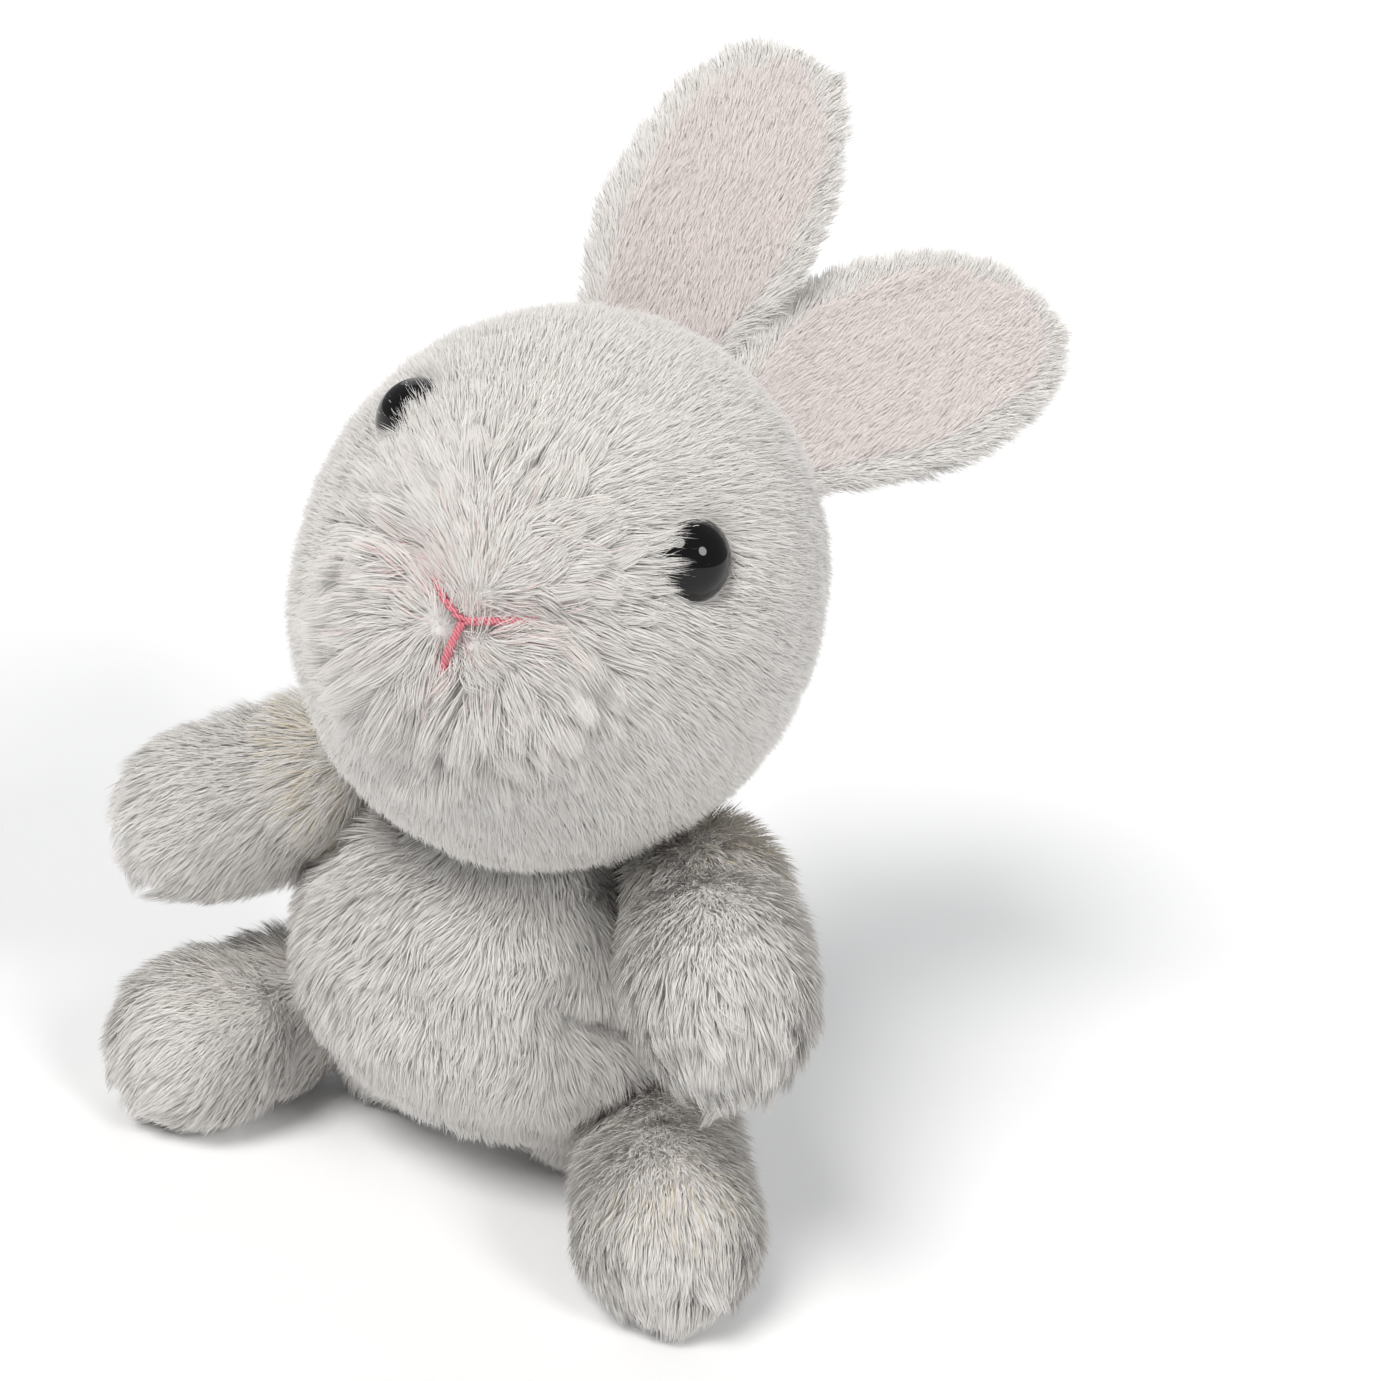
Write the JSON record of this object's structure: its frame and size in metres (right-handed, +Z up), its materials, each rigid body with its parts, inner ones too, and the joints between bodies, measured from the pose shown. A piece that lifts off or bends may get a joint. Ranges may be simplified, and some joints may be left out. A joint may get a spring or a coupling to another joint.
{
  "type": "stuffed bunny rabbit",
  "caption": "Sitting white plush rabbit with a round head, upright ears, black eyes, a stitched nose, stubby limbs and a puff tail, for play or display.",
  "frame": {"origin": "centre of the flat seat that the rabbit sits on", "axes": "+Z up from the seat, the rabbit's torso faces -Y, and +X is its own left side"},
  "size_m": [0.116, 0.1194, 0.176],
  "materials": {
    "white_plush": "matte",
    "ear_lining": "matte",
    "polyester_fill": "matte",
    "sewing_thread": "matte",
    "pink_thread": "matte",
    "eye_plastic": "gloss",
    "washer_plastic": "matte"
  },
  "bodies": {
    "torso": {"torso_shell": "white_plush", "torso_stuffing": "polyester_fill", "back_closing_stitches": "sewing_thread"},
    "neck": {"neck_seam": "sewing_thread", "neck_stuffing": "polyester_fill"},
    "head": {"head_shell": "white_plush", "head_stuffing": "polyester_fill", "eye_left": "eye_plastic", "eye_right": "eye_plastic", "eye_washer_left": "washer_plastic", "eye_washer_right": "washer_plastic", "nose_stitches": "pink_thread", "mouth_stitch": "pink_thread"},
    "tail": {"tail_shell": "white_plush", "tail_stuffing": "polyester_fill"},
    "shoulder_left": {"shoulder_left_seam": "sewing_thread", "shoulder_left_stuffing": "polyester_fill"},
    "arm_left": {"arm_left_shell": "white_plush", "arm_left_stuffing": "polyester_fill"},
    "hip_left": {"hip_left_seam": "sewing_thread", "hip_left_stuffing": "polyester_fill"},
    "leg_left": {"leg_left_shell": "white_plush", "leg_left_stuffing": "polyester_fill"},
    "ear_left": {"ear_left_back": "white_plush", "ear_left_lining": "ear_lining"},
    "shoulder_right": {"shoulder_right_seam": "sewing_thread", "shoulder_right_stuffing": "polyester_fill"},
    "arm_right": {"arm_right_shell": "white_plush", "arm_right_stuffing": "polyester_fill"},
    "hip_right": {"hip_right_seam": "sewing_thread", "hip_right_stuffing": "polyester_fill"},
    "leg_right": {"leg_right_shell": "white_plush", "leg_right_stuffing": "polyester_fill"},
    "ear_right": {"ear_right_back": "white_plush", "ear_right_lining": "ear_lining"}
  },
  "joints": [
    {"name": "head_turn", "type": "hinge", "parent": "torso", "child": "neck", "pos_m": [0.00075, -0.001, 0.052], "axis": [0, 0, 1], "range_deg": [-20, 20], "stiffness_Nm_per_rad": 0.25},
    {"name": "head_nod", "type": "hinge", "parent": "neck", "child": "head", "pos_m": [0.00075, -0.001, 0.052], "axis": [1, 0, 0], "range_deg": [-8, 5], "stiffness_Nm_per_rad": 0.6},
    {"name": "arm_left_swing", "type": "hinge", "parent": "torso", "child": "shoulder_left", "pos_m": [0.03122, -0.003, 0.056], "axis": [0, 0, -1], "range_deg": [-45, 8], "stiffness_Nm_per_rad": 0.03},
    {"name": "arm_left_lift", "type": "hinge", "parent": "shoulder_left", "child": "arm_left", "pos_m": [0.03122, -0.003, 0.056], "axis": [-0.829, -0.5592, 0], "range_deg": [-12, 16], "stiffness_Nm_per_rad": 0.03},
    {"name": "arm_right_swing", "type": "hinge", "parent": "torso", "child": "shoulder_right", "pos_m": [-0.03122, -0.003, 0.056], "axis": [0, 0, 1], "range_deg": [-25, 30], "stiffness_Nm_per_rad": 0.03},
    {"name": "arm_right_lift", "type": "hinge", "parent": "shoulder_right", "child": "arm_right", "pos_m": [-0.03122, -0.003, 0.056], "axis": [-0.342, 0.9397, 0], "range_deg": [-8, 40], "stiffness_Nm_per_rad": 0.03},
    {"name": "leg_left_splay", "type": "hinge", "parent": "torso", "child": "hip_left", "pos_m": [0.03257, -0.005, 0.01302], "axis": [0, 0, 1], "range_deg": [-8, 30], "stiffness_Nm_per_rad": 0.05},
    {"name": "leg_left_lift", "type": "hinge", "parent": "hip_left", "child": "leg_left", "pos_m": [0.03257, -0.005, 0.01302], "axis": [-0.866, -0.5, 0], "range_deg": [-35, 24], "stiffness_Nm_per_rad": 0.05},
    {"name": "leg_right_splay", "type": "hinge", "parent": "torso", "child": "hip_right", "pos_m": [-0.03257, -0.005, 0.01302], "axis": [0, 0, -1], "range_deg": [-8, 30], "stiffness_Nm_per_rad": 0.05},
    {"name": "leg_right_lift", "type": "hinge", "parent": "hip_right", "child": "leg_right", "pos_m": [-0.03257, -0.005, 0.01302], "axis": [-0.8829, 0.4695, 0], "range_deg": [-35, 24], "stiffness_Nm_per_rad": 0.05},
    {"name": "ear_left_fold", "type": "hinge", "parent": "head", "child": "ear_left", "pos_m": [0.01772, 0.02732, 0.11713], "axis": [0.8702, -0.0624, -0.4887], "range_deg": [-35, 40], "stiffness_Nm_per_rad": 0.02},
    {"name": "ear_right_fold", "type": "hinge", "parent": "head", "child": "ear_right", "pos_m": [-0.00399, 0.02808, 0.12135], "axis": [0.9509, 0.2482, -0.1847], "range_deg": [-40, 20], "stiffness_Nm_per_rad": 0.02},
    {"name": "tail_wag", "type": "hinge", "parent": "torso", "child": "tail", "pos_m": [0, 0.02681, 0.015], "axis": [0, 0, 1], "range_deg": [-20, 20], "stiffness_Nm_per_rad": 0.01}
  ]
}
